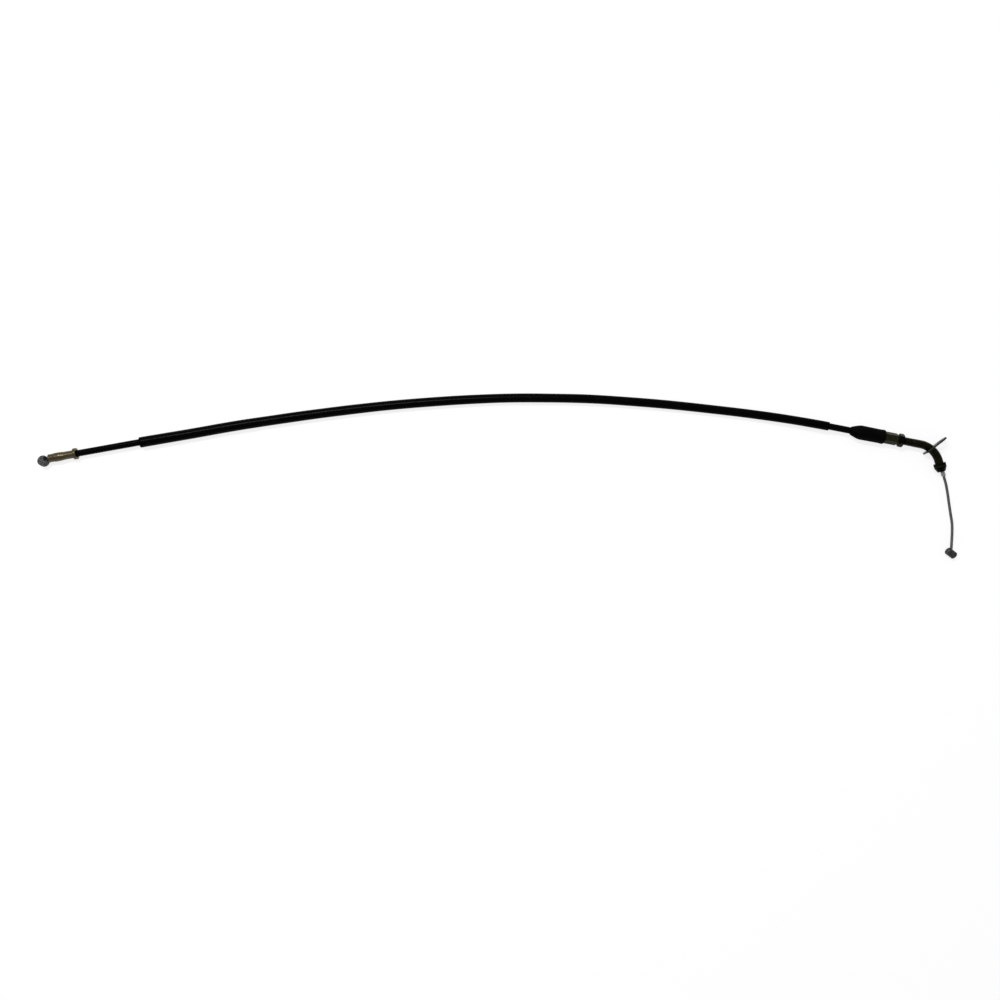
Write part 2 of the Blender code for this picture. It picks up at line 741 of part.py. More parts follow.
    # Bare wire and the throttle's nipple
    bare_stations = [k * BARE_WIRE_STATION for k in range(int(core.length / BARE_WIRE_STATION))]
    bare_run = core.stretch(wire_joint + END_GAP / 2, core.length, bare_stations)
    throttle_wire = wire("throttle_wire", bare_run, steel)
    centre = core.points[-1]
    heading = math.radians(THROTTLE_NIPPLE_HEADING)
    tilt = math.radians(THROTTLE_NIPPLE_TILT)
    barrel_axis = Vector(
        (math.cos(heading) * math.cos(tilt), math.sin(heading) * math.cos(tilt), math.sin(tilt))
    )
    throttle_nipple = turned(
        "throttle_nipple",
        chamfered_cylinder(THROTTLE_NIPPLE_RADIUS, THROTTLE_NIPPLE_LENGTH, NIPPLE_EDGE),
        centred_frame(centre, barrel_axis),
        zinc,
    )
    entry = core.last_heading
    drill(
        throttle_nipple,
        WIRE_RADIUS + SOLDER_GAP,
        centre - entry * THROTTLE_NIPPLE_LENGTH,
        centre + entry * SOLDER_GAP,
    )

    # What moves together hangs on an empty on its own axis
    carb_axis = add_object("carb_pull_axis", None, matrix=axis_frame(face, left))
    elbow_axis = add_object("elbow_travel_axis", None, matrix=axis_frame(bend_start, right))
    hold_on(carb_axis, [carb_nipple, carb_wire])
    hold_on(
        elbow_axis,
        [tube, liner, elbow_wire, collar, throttle_wire, nut, plate, throttle_nipple],
    )


build()
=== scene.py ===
# %% [markdown]
# # Dressing a throttle cable
#
# The CAD model says what each piece of the cable is, where it lies and how it moves. This lesson
# gives the pieces their real surfaces: fine turned profiles, a screw thread, a wire with strands,
# and finishes made of nodes. Every shape is a function worked out on a grid of numbers.

import math

import bpy
import numpy as np
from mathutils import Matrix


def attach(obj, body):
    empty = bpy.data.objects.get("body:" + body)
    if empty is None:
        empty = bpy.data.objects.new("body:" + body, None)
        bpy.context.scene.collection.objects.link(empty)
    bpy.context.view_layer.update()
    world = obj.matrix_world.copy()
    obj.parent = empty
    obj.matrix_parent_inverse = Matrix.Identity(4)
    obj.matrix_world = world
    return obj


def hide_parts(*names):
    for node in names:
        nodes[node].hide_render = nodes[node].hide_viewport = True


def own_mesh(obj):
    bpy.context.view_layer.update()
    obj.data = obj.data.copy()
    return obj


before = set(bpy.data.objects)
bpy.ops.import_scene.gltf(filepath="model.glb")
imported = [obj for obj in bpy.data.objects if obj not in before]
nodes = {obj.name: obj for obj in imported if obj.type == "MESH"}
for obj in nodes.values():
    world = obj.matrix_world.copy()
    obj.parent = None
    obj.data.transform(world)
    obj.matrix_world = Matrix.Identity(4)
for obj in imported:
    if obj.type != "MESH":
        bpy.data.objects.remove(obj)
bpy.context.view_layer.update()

# %% [markdown]
# ## Camera
#
# The cable was photographed from straight above. A camera that looks down needs no turning: its
# own axes are the scene's axes. Lens and sensor are equal here, so at a height of 750 mm it sees
# 750 mm of the surface. The camera comes first, because the cords are measured against its view.

# %% A camera straight above
MM = 0.001
UP = np.array([0.0, 0.0, 1.0])
EYE = (1.5, -17.7, 754.0)
scene = bpy.context.scene


def placed(name, data):
    """A new object in the scene that shows a mesh, curve, lamp or camera."""
    item = bpy.data.objects.new(name, data)
    scene.collection.objects.link(item)
    return item


lens = bpy.data.cameras.new("camera")
lens.lens = lens.sensor_width = 36.0
lens.clip_start, lens.clip_end = 0.05, 30.0
camera = placed("camera", lens)
camera.location = np.array(EYE) * MM
scene.camera = camera
print("camera height in mm:", EYE[2])

# %% [markdown]
# ## Lines in space
#
# A cable is a profile carried along a line, so lines come before surfaces. A few listed
# points become a smooth line with a cubic piece between each two. The same points and the same
# cubics give the CAD model its route, so what is dressed here lies exactly where the solid lies.


# %% Smooth lines that can be read at any length
def unit(v):
    """v divided by its length."""
    return v / np.linalg.norm(v, axis=-1, keepdims=True)


def smooth_route(route, per_span=14):
    """Cubic pieces through a route. At share t of a span of length h from a to b the point is
    (2t³ - 3t² + 1)·a + (3t² - 2t³)·b + (t³ - 2t² + t)·h·m + (t³ - t²)·h·n. The slopes m and n
    are those of the parabola through each point and its two neighbours."""
    p = np.asarray(route, float)
    h = np.linalg.norm(np.diff(p, axis=0), axis=1)[:, None]
    c = np.diff(p, axis=0) / h
    inner = (c[:-1] * h[1:] + c[1:] * h[:-1]) / (h[:-1] + h[1:])
    m = np.vstack([c[:1], inner, c[-1:]])
    t = (np.arange(per_span) / per_span)[None, :, None]
    a, b, h = p[:-1, None], p[1:, None], h[:, None]
    curve = (2 * t**3 - 3 * t**2 + 1) * a + (3 * t**2 - 2 * t**3) * b
    curve = curve + (t**3 - 2 * t**2 + t) * h * m[:-1, None] + (t**3 - t**2) * h * m[1:, None]
    return np.vstack([curve.reshape(-1, 3), p[-1:]])


class Line:
    """A line of points, read at any length along it, and straight on past both ends."""

    def __init__(self, points):
        self.points = np.asarray(points, float)
        steps = np.linalg.norm(np.diff(self.points, axis=0), axis=1)
        self.lengths = np.concatenate([[0.0], np.cumsum(steps)])
        self.length = self.lengths[-1]

    def at(self, s):
        """The points at lengths s: each coordinate read off between its neighbours."""
        s = np.atleast_1d(np.asarray(s, float))
        inside = [np.interp(s, self.lengths, self.points[:, k]) for k in range(3)]
        before = np.minimum(s, 0)[:, None] * unit(self.points[1] - self.points[0])
        after = np.maximum(s - self.length, 0)[:, None] * unit(self.points[-1] - self.points[-2])
        return np.stack(inside, axis=-1) + before + after

    def basis(self, s, margin=0.5):
        """Heading, right-hand side and upward direction at lengths s."""
        s = np.atleast_1d(np.asarray(s, float))
        heading = unit(self.at(s + margin) - self.at(s - margin))
        side = unit(np.cross(heading, UP))
        return heading, side, np.cross(side, heading)


def straight(origin, heading, reach=100.0):
    """A straight line from a point, for pieces that are turned on a lathe."""
    origin, heading = np.asarray(origin, float), unit(np.asarray(heading, float))
    return Line([origin, origin + heading * reach])


CONDUIT_ROUTE = [
    (-336.7, 13.4, 4.3), (-303.2, 19.4, 4.3), (-269.7, 25.4, 4.3), (-231.0, 31.95, 4.15),
    (-193.5, 38.5, 3.95), (-171.0, 41.9, 3.88), (-141.0, 46.2, 3.8), (-111.0, 50.0, 3.74),
    (-81.0, 53.3, 3.68), (-51.0, 55.8, 3.63), (-21.0, 57.7, 3.6), (9.0, 58.8, 3.57),
    (39.0, 58.8, 3.54), (69.0, 58.1, 3.5), (99.0, 56.2, 3.48), (129.0, 53.7, 3.46),
    (159.0, 50.5, 3.5), (189.0, 46.9, 3.8), (219.0, 42.5, 4.8), (248.3, 37.3, 5.45),
    (271.0, 32.8667, 5.45), (293.7, 28.4333, 5.45), (316.4, 24.0, 5.45),
]
BARE_WIRE_ROUTE = [
    (333.7, 0.0, 5.38), (335.35, -5.5, 5.1), (336.8, -12.5, 4.75), (338.1, -20.5, 4.35),
    (339.45, -28.5, 4.0), (340.6, -35.5, 3.75), (340.75, -42.5, 3.55), (340.45, -50.0, 3.42),
    (340.0, -57.6, 3.35),
]
cable = Line(smooth_route(CONDUIT_ROUTE))
left = unit(cable.points[1] - cable.points[0])
right = unit(cable.points[-1] - cable.points[-2])
print("cable from ferrule to bend in mm:", round(cable.length, 2))

# %% [markdown]
# ## Line of the elbow
#
# The elbow is a straight, an arc of 63.3 degrees and a short straight. The wire in it is pulled to
# the outside of the bend and leaves the mouth off centre, so its line drifts away from the tube's.

# %% The elbow's line and the line of the wire in it
BEND_RADIUS, BEND_TURN, MOUTH_STRAIGHT, STATION = 17.4, math.radians(63.3), 8.4, 17.0
TUBE_RADIUS, TUBE_WALL, FIT_GAP, END_GAP = 3.05, 0.6, 0.2, 0.3
WIRE_RADIUS, LINER_BORE, LINER_RADIUS = 1.0, 1.3, 1.65
NUT_TO_BEND, NUT_LENGTH, TUBE_DEPTH, BARREL_WEB, CAP_BASE = 13.5, 3.8, 11.0, 1.0, 1.0
BARREL_NECK, HEX_LENGTH, SPIGOT_LENGTH, BOOT_LENGTH = 1.0, 9.3, 13.5, 25.2
LINER_REACH, WIRE_RECESS = 3.6, 1.0
BEND_STEPS, FINE_STEPS, CORE_STEPS = 10, 60, 12


def elbow_line(steps):
    """The arc's point at turn a is start + R·(sin a · heading + (1 - cos a) · side)."""
    start, side = cable.points[-1], np.cross(right, UP)
    a = (np.arange(1, steps + 1) / steps * BEND_TURN)[:, None]
    arc = start + BEND_RADIUS * (np.sin(a) * right + (1 - np.cos(a)) * side)
    out = math.cos(BEND_TURN) * right + math.sin(BEND_TURN) * side
    return Line(np.vstack([start - right * STATION, start, arc, arc[-1] + out * MOUTH_STRAIGHT])), out


elbow, out = elbow_line(FINE_STEPS)
coarse, _ = elbow_line(BEND_STEPS)
LOCK_NUT_AT = cable.length - NUT_TO_BEND - NUT_LENGTH
BARREL_END = LOCK_NUT_AT - END_GAP
HEX_AT = BARREL_END - BARREL_NECK - HEX_LENGTH
SPIGOT_AT = HEX_AT - SPIGOT_LENGTH
BOOT_AT = HEX_AT - END_GAP - BOOT_LENGTH
TUBE_AT = BARREL_END - TUBE_DEPTH
tube_shift = coarse.lengths[1] - (cable.length - TUBE_AT)
places = np.array([tube_shift, *coarse.lengths[1:-1], coarse.length])
share = np.minimum(1, 2 * (places - tube_shift) / (coarse.length - tube_shift))
drift = (TUBE_RADIUS - TUBE_WALL - FIT_GAP - LINER_RADIUS) * share**2 * (3 - 2 * share)
led = coarse.at(places) - coarse.basis(places)[1] * drift[:, None]
core = Line(smooth_route([*led, *BARE_WIRE_ROUTE], CORE_STEPS))
liner_end = core.lengths[::CORE_STEPS][len(led) - 1] + LINER_REACH
wire_start = liner_end - WIRE_RECESS + END_GAP / 2
print("bare wire in mm:", round(core.length - wire_start, 2))

# %% [markdown]
# ## Surfaces from a profile and a line
#
# Nearly every piece here is round. Its surface is a grid: rows follow the profile, columns go
# round the line. One function makes them all, whether the line is straight, as on a turned
# ferrule, or curved, as on the sleeve. A hollow piece has a profile that closes on itself.


# %% Carrying a profile along a line
def rounded(profile, radius=0.12, steps=3, closed=True):
    """Each corner p becomes a parabola (1-t)²·a + 2t(1-t)·p + t²·b between points a and b that
    lie on its two sides, at most radius away."""
    p = np.asarray(profile, float)
    radius = np.broadcast_to(np.asarray(radius, float).reshape(-1, 1), (len(p), 1))
    back, on = np.roll(p, 1, axis=0) - p, np.roll(p, -1, axis=0) - p
    far_back = np.linalg.norm(back, axis=1, keepdims=True)
    far_on = np.linalg.norm(on, axis=1, keepdims=True)
    a = p + back * np.minimum(radius, 0.45 * far_back) / far_back
    b = p + on * np.minimum(radius, 0.45 * far_on) / far_on
    if not closed:
        a[0], b[0], a[-1], b[-1] = p[0], p[0], p[-1], p[-1]
    t = np.linspace(0, 1, steps + 1)[None, :, None]
    curve = (1 - t) ** 2 * a[:, None] + 2 * t * (1 - t) * p[:, None] + t**2 * b[:, None]
    return curve.reshape(-1, 2) if closed else curve.reshape(-1, 2)[steps : -steps or None]


def dense(profile, step, closed=True):
    """The profile with further points, so that no two are more than a step apart."""
    p = np.vstack([profile, profile[:1]]) if closed else np.asarray(profile, float)
    s = np.concatenate([[0.0], np.cumsum(np.linalg.norm(np.diff(p, axis=0), axis=1))])
    keep = np.concatenate([[True], np.diff(s) > 1e-9])
    p, s = p[keep], s[keep]
    wanted = np.union1d(s, np.arange(0, s[-1], step))
    wanted = wanted[np.concatenate([[True], np.diff(wanted) > 1e-6])]
    found = np.stack([np.interp(wanted, s, p[:, k]) for k in range(2)], axis=-1)
    return found[:-1] if closed else found


def skin(name, grid, along, closed=True):
    """A mesh over a grid of points. Columns close on themselves. Rows do too where closed is
    true, and otherwise a fan closes each end. The UV map holds turns round and millimetres
    along. Faces are turned outwards by the sign of the volume, the sum of a·(b × c) / 6."""
    n, m = grid.shape[:2]
    index = np.arange(n * m).reshape(n, m)
    low = index if closed else index[:-1]
    high = np.roll(index, -1, axis=0) if closed else index[1:]
    quads = np.stack([low, np.roll(low, -1, 1), np.roll(high, -1, 1), high], -1).reshape(-1, 4)
    points = grid.reshape(-1, 3)
    v = np.asarray(along, float)
    v_low, v_high = (v, np.roll(v, -1)) if closed else (v[:-1], v[1:])
    u = np.arange(m) / m
    u_low, u_high = np.meshgrid(u, v_low)[0], np.meshgrid(u + 1 / m, v_low)[0]
    v_low, v_high = np.repeat(v_low[:, None], m, 1), np.repeat(v_high[:, None], m, 1)
    corners = [(u_low, v_low), (u_high, v_low), (u_high, v_high), (u_low, v_high)]
    uv = np.stack([np.stack(c, -1) for c in corners], axis=2).reshape(-1, 4, 2)
    split = quads[:, [0, 1, 2, 0, 2, 3]].reshape(-1, 3)
    faces, maps = quads.tolist(), [uv.reshape(-1, 2)]
    if not closed:
        points = np.vstack([points, grid[0].mean(0), grid[-1].mean(0)])
        first = np.stack([np.full(m, n * m), np.roll(index[0], -1), index[0]], -1)
        last = np.stack([np.full(m, n * m + 1), index[-1], np.roll(index[-1], -1)], -1)
        faces += first.tolist() + last.tolist()
        split = np.vstack([split, first, last])
        maps += [np.stack([np.repeat(u, 3), np.full(3 * m, e)], -1) for e in (v[0], v[-1])]
    a, b, c = (points[split[:, k]] for k in range(3))
    volume = np.einsum("ij,ij->i", a, np.cross(b, c)).sum() / 6
    mesh = bpy.data.meshes.new(name)
    mesh.from_pydata((points * MM).tolist(), [], faces)
    mesh.uv_layers.new(name="turns_mm").data.foreach_set("uv", np.vstack(maps).ravel())
    if volume < 0:
        mesh.flip_normals()
    mesh.shade_smooth()
    mesh.set_sharp_from_angle(angle=math.radians(32))
    print(f"{name}: {len(split)} triangles, {abs(volume):.0f} mm3")
    return placed(name, mesh)


def carried(name, line, profile, columns=96, shape=None, closed=True, offset=None):
    """Row i, column j lies at line(station i) + r·(cos a · side + sin a · up), with a the column's
    share of a full turn. The profile gives (radius, station), and shape changes the radius to
    r = shape(radii, stations, angles)."""
    profile = np.asarray(profile, float)
    radii, stations = profile[:, 0][:, None], profile[:, 1]
    a = np.arange(columns) / columns * 2 * math.pi
    r = np.broadcast_to(radii, (len(radii), columns))
    if shape is not None:
        r = shape(radii, stations[:, None], a)
    _, side, up = line.basis(stations)
    centres = line.at(stations)
    if offset is not None:
        centres = centres + offset(stations)[:, None] * side
    spokes = np.cos(a)[None, :, None] * side[:, None] + np.sin(a)[None, :, None] * up[:, None]
    return skin(name, centres[:, None] + r[:, :, None] * spokes, stations, closed)


def hexagon(flats, angles, corner_at, softness):
    """How far a hexagon's side is from its middle at each angle. Each flat k at angle f gives
    cos(a - f) / half width, and the result is their soft greatest, turned over, so that a low
    softness rounds the corners."""
    f = corner_at + math.radians(30) + np.arange(6) * math.radians(60)
    lean = np.maximum(np.cos(angles[..., None] - f), 0) / (flats / 2)
    return (lean**softness).sum(-1) ** (-1 / softness)


# %% [markdown]
# ## Writing finishes as expressions
#
# A finish is a tree of nodes. Wired by hand, even a sum takes four lines, so a small class wraps
# a socket and lets + - * / add the Math nodes. Any other node comes from one method.


# %% Values and finishes
class Value:
    """A socket that can be reckoned with."""

    def __init__(self, finish, socket):
        self.finish, self.socket = finish, socket

    def reckon(self, operation, *others):
        settings = {"operation": operation}
        return self.finish.node("ShaderNodeMath", settings, dict(enumerate([self, *others])))["Value"]

    def __add__(self, other):
        return self.reckon("ADD", other)

    def __sub__(self, other):
        return self.reckon("SUBTRACT", other)

    def __rsub__(self, other):
        return (self * -1).reckon("ADD", other)

    def __mul__(self, other):
        return self.reckon("MULTIPLY", other)

    def __truediv__(self, other):
        return self.reckon("DIVIDE", other)

    def __rtruediv__(self, other):
        return self.reckon("POWER", -1.0) * other

    __radd__, __rmul__ = __add__, __mul__

    def between(self, low, high):
        """0 below low, 1 above high and a smooth rise in between."""
        settings = {"interpolation_type": "SMOOTHSTEP", "clamp": True}
        inputs = {"Value": self, "From Min": low, "From Max": high}
        return self.finish.node("ShaderNodeMapRange", settings, inputs)["Result"]


class Node:
    """A node whose outputs are asked for by name."""

    def __init__(self, finish, node):
        self.finish, self.node = finish, node

    def __getitem__(self, name):
        found = [s for s in self.node.outputs if name in (s.identifier, s.name) and s.enabled]
        return Value(self.finish, found[0])


class Finish:
    """A material under construction."""

    def __init__(self, name, tree=None):
        if tree is None:
            self.material = bpy.data.materials.new(name)
            self.material.use_nodes = True
            tree = self.material.node_tree
            self.shader = tree.nodes["Principled BSDF"]
        self.tree = tree

    def fill(self, node, inputs):
        for key, value in inputs.items():
            named = [s for s in node.inputs if key in (s.identifier, s.name) and s.enabled]
            socket = node.inputs[key] if isinstance(key, int) else named[0]
            if isinstance(value, Value):
                self.tree.links.new(value.socket, socket)
            elif isinstance(value, tuple) and len(value) == 3 and socket.type == "RGBA":
                socket.default_value = (*value, 1.0)
            else:
                socket.default_value = value

    def node(self, kind, settings=None, inputs=None):
        made = self.tree.nodes.new(kind)
        for key, value in (settings or {}).items():
            setattr(made, key, value)
        self.fill(made, inputs or {})
        return Node(self, made)

    def place(self):
        """Object coordinates, in metres."""
        return self.node("ShaderNodeTexCoord")["Object"]

    def surface(self):
        """Turns round the piece and millimetres along it."""
        parts = self.node("ShaderNodeSeparateXYZ", None, {0: self.node("ShaderNodeTexCoord")["UV"]})
        return parts["X"], parts["Y"]

    def noise(self, size_mm, detail=3.0, roughness=0.55, stretch=(1, 1, 1)):
        """Noise from 0 to 1 whose lumps are about so many millimetres, stretched along the axes."""
        scale = tuple(1000.0 / size_mm / s for s in stretch)
        vector = self.node("ShaderNodeMapping", None, {"Vector": self.place(), "Scale": scale})["Vector"]
        inputs = {"Vector": vector, "Scale": 1.0, "Detail": detail, "Roughness": roughness}
        return self.node("ShaderNodeTexNoise", None, inputs)["Fac"]

    def streaks(self, across, scale, detail):
        """Noise from 0 to 1 that varies with one value only."""
        inputs = {"W": across, "Scale": scale, "Detail": detail}
        return self.node("ShaderNodeTexNoise", {"noise_dimensions": "1D"}, inputs)["Fac"]

    def mix(self, factor, a, b):
        inputs = {"Factor_Float": factor, "A_Color": a, "B_Color": b}
        return self.node("ShaderNodeMix", {"data_type": "RGBA"}, inputs)["Result_Color"]

    def bump(self, height, strength, distance_mm=0.1):
        inputs = {"Height": height, "Strength": strength, "Distance": distance_mm * MM}
        return self.node("ShaderNodeBump", None, inputs)["Normal"]

    def done(self, **inputs):
        self.fill(self.shader, {k.replace("_", " "): v for k, v in inputs.items()})
        print(f"finish {self.material.name}: {len(self.tree.nodes)} nodes")
        return self.material


def dressed(item, body, finish, replaced):
    """Gives a piece its finish and body, and hides the CAD node it stands for."""
    item.data.materials.append(finish)
    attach(item, body)
    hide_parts(replaced)


# %% [markdown]
# ## Vinyl of the conduit and its sleeve
#
# Both are extruded: fine lines run along them, the gloss is soft, and handling leaves paler scuffs
# in patches. Lines along a curved tube can't come from plain coordinates, so they read the turns
# round the piece from its UV map. The vinyl reflects little, so its specular level is low.

# %% Black vinyl
vinyl = Finish("black_vinyl")
around, _ = vinyl.surface()
scuff = vinyl.noise(5.0, 4.0).between(0.55, 0.75)
grain = vinyl.noise(0.25, 2.0)
lines = vinyl.streaks(around, 90.0, 1.0)
black_vinyl = vinyl.done(
    Base_Color=vinyl.mix(scuff, (0.0004, 0.0004, 0.0004), (0.0015, 0.0015, 0.0015)),
    Roughness=0.19 + 0.10 * scuff + 0.05 * grain,
    Normal=vinyl.bump(lines + grain * 0.4, 0.06, 0.05),
    Specular_IOR_Level=0.025,
)

# %% Jacket of the conduit
JACKET_RADIUS, JACKET_BORE = 2.47, 2.08
FERRULE_LENGTH, SOCKET_DEPTH = 21.4, 14.0


def tube_profile(outer, bore, start, end):
    """A wall's four corners as (radius, station): the outside first, then back along the bore."""
    return [(outer, start), (outer, end), (bore, end), (bore, start)]


conduit_at = FERRULE_LENGTH - SOCKET_DEPTH + END_GAP
conduit_end = TUBE_AT - BARREL_WEB - CAP_BASE - 3 * END_GAP
profile = tube_profile(JACKET_RADIUS, JACKET_BORE, conduit_at, conduit_end)
jacket = carried("jacket", cable, dense(rounded(profile, 0.2), 3.0), 48)
dressed(jacket, "conduit", black_vinyl, "conduit_jacket")

# %% [markdown]
# ## Protective sleeve
#
# A looser tube slid over most of the conduit. Its wall is thicker at the carburettor's end, where
# it also hangs a little to one side, because nothing centres it. Its ends are cut square.


# %% Sleeve
SLEEVE_RADIUS, SLEEVE_BORE = 3.6, 2.76
sleeve_start, sleeve_end = 69.6, cable.length - 70.3


def sleeve_shape(radii, stations, angles):
    """The outer radius falls from 3.99 to 3.27 as (1 - share) to the power 2.2, with a slow wave.
    Radii up to 3.0 are the bore's and stay."""
    s = np.clip((stations - sleeve_start) / (sleeve_end - sleeve_start), 0, 1)
    outer = 3.27 + 0.72 * (1 - s) ** 2.2 + 0.02 * np.sin(stations / 9.0 + 2 * np.sin(stations / 31.0))
    return np.where(radii > 3.0, outer - (SLEEVE_RADIUS - radii), radii) + 0 * angles


profile = tube_profile(SLEEVE_RADIUS, SLEEVE_BORE, sleeve_start, sleeve_end)
sleeve = carried(
    "sleeve", cable, dense(rounded(profile, 0.16), 2.0), 64, sleeve_shape,
    offset=lambda s: 0.2 * np.exp(-(s - sleeve_start) / 60.0),
)
dressed(sleeve, "conduit", black_vinyl, "protective_sleeve")

# %% [markdown]
# ## Rubber boot
#
# Moulded rubber is duller than vinyl and finely pitted. The boot is a straight tube that narrows
# to a cone where the conduit enters. Its profile is rounded generously, as rubber has no sharp
# edges, and a low bead stiffens its open end.

# %% Rubber and the boot
rubber = Finish("black_rubber")
pits = rubber.noise(0.35, 3.0)
dust = rubber.noise(3.0, 4.0).between(0.5, 0.8)
black_rubber = rubber.done(
    Base_Color=rubber.mix(dust, (0.0007, 0.0007, 0.0007), (0.0020, 0.0019, 0.0018)),
    Roughness=0.50 + 0.2 * pits,
    Normal=rubber.bump(pits, 0.25, 0.05),
    Specular_IOR_Level=0.022,
)
profile = [
    (4.1, 25.2), (5.25, 25.2), (5.38, 24.6), (5.38, 23.4), (5.22, 22.6), (5.3, 15.0), (5.38, 7.6),
    (5.15, 5.9), (4.0, 2.4), (3.2, 0.35), (2.95, 0.0), (2.72, 0.0), (2.72, 2.5), (4.1, 9.0),
]
boot_line = straight(cable.at(BOOT_AT)[0], right)
boot = carried("boot_cover", boot_line, dense(rounded(profile, 0.6, 4), 1.2), 72)
dressed(boot, "boot", black_rubber, "boot")

# %% [markdown]
# ## Passivated steel
#
# Steel parts are zinc plated and dipped in chromate. The film is a few wavelengths thick, so its
# colour wanders between yellow, olive and brown. A lathe leaves fine rings, which read the
# millimetres along the piece from its UV map. Dirt has settled in patches.

# %% Yellow passivated steel and the ferrule
yellow = Finish("yellow_passivated_steel")
_, along = yellow.surface()
tint = yellow.noise(1.6, 4.0, 0.6).between(0.35, 0.7)
stain = yellow.noise(0.8, 3.0).between(0.55, 0.72)
rings = yellow.streaks(along, 9.0, 2.0)
film = yellow.mix(tint, (0.098, 0.081, 0.050), (0.072, 0.057, 0.033))
yellow_steel = yellow.done(
    Base_Color=yellow.mix(stain * 0.7, film, (0.040, 0.030, 0.016)),
    Metallic=1.0,
    Roughness=0.24 + 0.08 * tint + 0.12 * stain,
    Normal=yellow.bump(rings, 0.35, 0.04),
)
SEAT = 19.2
profile = [
    (4.25, FERRULE_LENGTH), (4.25, SEAT), (3.35, SEAT), (3.0, SEAT - 0.3), (3.0, 12.2), (3.35, 8.2),
    (3.35, 4.3), (3.05, 4.0), (2.8, 3.85), (2.8, 3.35), (3.15, 3.05), (3.15, 2.15), (2.8, 1.85),
    (2.8, 1.35), (3.15, 1.05), (3.15, 0.3), (2.85, 0.0), (1.45, 0.0), (1.45, 7.4), (2.7, 7.4),
    (2.7, FERRULE_LENGTH),
]
ferrule_line = straight(cable.points[0], left)
ferrule = carried("ferrule", ferrule_line, dense(rounded(profile, 0.22, 4), 1.0), 96)
dressed(ferrule, "conduit", yellow_steel, "carb_ferrule")

# %% [markdown]
# ## Olive steel of the adjuster and elbow
#
# The same plating, but older and darker. The barrel is cut from hexagon bar and turned down at
# both ends, so its outline is the lesser of two radii at each angle: the lathe's and the bar's.
# That also gives the curved edges that a chamfer leaves on a hexagon. The tube came out darker
# than the barrel, so the finish is made twice.


# %% Olive passivated steel and the barrel
def olive_finish(name, pale, dark):
    """Chromated steel that wanders between two shades of olive, with paler worn spots."""
    olive = Finish(name)
    tint = olive.noise(2.2, 4.0, 0.6).between(0.35, 0.7)
    wear = olive.noise(0.5, 3.0).between(0.58, 0.75)
    return olive.done(
        Base_Color=olive.mix(wear * 0.4, olive.mix(tint, pale, dark), (0.036, 0.034, 0.027)),
        Metallic=1.0,
        Roughness=0.38 + 0.14 * tint,
        Normal=olive.bump(olive.noise(0.3, 3.0), 0.25, 0.04),
    )


olive_steel = olive_finish("olive_passivated_steel", (0.0190, 0.0190, 0.0100), (0.0115, 0.0115, 0.0055))
tube_steel = olive_finish("dark_olive_steel", (0.0095, 0.0095, 0.0050), (0.0055, 0.0055, 0.0025))


def cut_from_bar(flats, corner_at, softness, free_below):
    """The lesser of the turned radius and the hexagon's, for radii above free_below."""

    def shape(radii, stations, angles):
        cut = np.minimum(radii, hexagon(flats, angles, corner_at, softness))
        return np.where(radii > free_below, cut, radii + 0 * angles)

    return shape


profile = [
    (3.55, 23.8), (3.75, 23.8), (3.75, 22.8), (4.0, 22.8), (4.62, 22.3), (4.62, 14.0), (4.1, 13.5),
    (3.75, 13.5), (3.75, 0.0), (3.25, 0.0), (3.25, 11.5), (1.45, 11.5), (1.45, 12.5), (3.25, 12.5),
    (3.25, 23.5),
]
barrel_line = straight(cable.at(SPIGOT_AT)[0], right)
barrel = carried(
    "barrel", barrel_line, dense(rounded(profile, 0.15), 0.4), 96,
    cut_from_bar(8.0, 0.0, 60, 3.3),
)
dressed(barrel, "adjuster", olive_steel, "adjuster_barrel")

# %% [markdown]
# ## Lock nut
#
# Blackened steel is nearly black with a brownish cast, and paler in patches. The nut's corners
# are well rounded by use, so its hexagon has a low softness.

# %% Blackened steel and the nut
blackened = Finish("blackened_steel")
tint = blackened.noise(1.4, 3.0).between(0.35, 0.7)
blackened_steel = blackened.done(
    Base_Color=blackened.mix(tint, (0.0022, 0.0017, 0.0014), (0.0075, 0.0062, 0.0055)),
    Metallic=1.0,
    Roughness=0.34 + 0.14 * tint,
    Normal=blackened.bump(blackened.noise(0.35, 3.0), 0.2, 0.04),
)
profile = [
    (3.55, 3.8), (4.1, 3.8), (5.2, 3.2), (5.2, 0.6), (4.1, 0.0), (3.55, 0.0), (3.25, 0.3), (3.25, 3.5),
]
nut_line = straight(cable.at(LOCK_NUT_AT)[0], right)
nut = carried("nut", nut_line, dense(rounded(profile, 0.25, 4), 0.2), 120, cut_from_bar(9.0, 0.0, 36, 3.6))
dressed(nut, "lock_nut", blackened_steel, "lock_nut")

# %% [markdown]
# ## Elbow tube with its thread
#
# The straight end carries a fine thread of one millimetre's pitch. On the grid that is a radius
# that dips once for each turn round and each pitch along, so the ridge climbs like a real screw.
# It fades out before the bend, where a die can't reach.


# %% Threaded tube
THREAD_PITCH, THREAD_DEPTH, THREAD_STOP, PLAIN_FROM = 1.0, 0.42, 6.2, 4.0
COLLAR_LENGTH, TUBE_IN_COLLAR = 6.4, 3.1


def thread(radii, stations, angles):
    """Radius less depth times u·u·(3 - 2·u), where u = |2·fraction - 1| and fraction is that of
    station / pitch plus turns. It fades out over two millimetres before the bend. Radii up to 2.6
    are the bore's and stay."""
    fade = np.clip((elbow_start - THREAD_STOP + 1.0 - stations) / 2.0, 0, 1)
    ridge = np.abs(2 * ((stations / THREAD_PITCH + angles / (2 * math.pi)) % 1.0) - 1)
    cut = radii - THREAD_DEPTH * fade * ridge * (3 - 2 * ridge) * ridge
    return np.where(radii > 2.6, cut, radii + 0 * angles)


